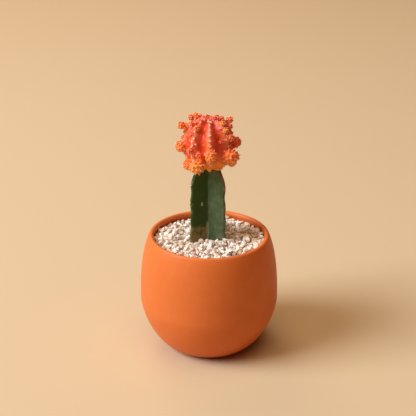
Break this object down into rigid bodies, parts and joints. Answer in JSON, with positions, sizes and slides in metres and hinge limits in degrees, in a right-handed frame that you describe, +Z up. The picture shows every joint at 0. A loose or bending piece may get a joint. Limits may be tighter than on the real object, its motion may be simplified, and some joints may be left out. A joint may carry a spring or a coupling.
{
  "type": "potted moon cactus",
  "caption": "Red ribbed globe cactus with offsets, grafted on a winged green rootstock, planted in soil under white gravel in a round clay pot.",
  "frame": {"origin": "centre of the pot's base, on the surface it stands on", "axes": "+Z up along the pot's axis; -Y is the front, the side with the rootstock's front valley; +X to the right seen from the front"},
  "size_m": [0.09, 0.09, 0.1573],
  "materials": {
    "pot_clay": "satin",
    "mesh_plastic": "matte",
    "soil": "matte",
    "gravel": "matte",
    "rootstock_skin": "satin",
    "scion_skin": "satin",
    "offset_skin": "satin"
  },
  "bodies": {
    "root": {"drain_mesh": "mesh_plastic", "gravel_bed": "gravel", "offset_01": "offset_skin", "offset_02": "offset_skin", "offset_03": "offset_skin", "offset_04": "offset_skin", "offset_05": "offset_skin", "offset_06": "offset_skin", "offset_07": "offset_skin", "offset_08": "offset_skin", "offset_09": "offset_skin", "offset_10": "offset_skin", "offset_11": "offset_skin", "offset_12": "offset_skin", "offset_13": "offset_skin", "offset_14": "offset_skin", "offset_15": "offset_skin", "offset_16": "offset_skin", "offset_17": "offset_skin", "offset_18": "offset_skin", "offset_19": "offset_skin", "offset_20": "offset_skin", "offset_21": "offset_skin", "offset_22": "offset_skin", "offset_23": "offset_skin", "offset_24": "offset_skin", "offset_25": "offset_skin", "offset_26": "offset_skin", "offset_27": "offset_skin", "offset_28": "offset_skin", "offset_29": "offset_skin", "offset_30": "offset_skin", "pot": "pot_clay", "potting_soil": "soil", "rootstock": "rootstock_skin", "scion": "scion_skin"}
  },
  "joints": []
}
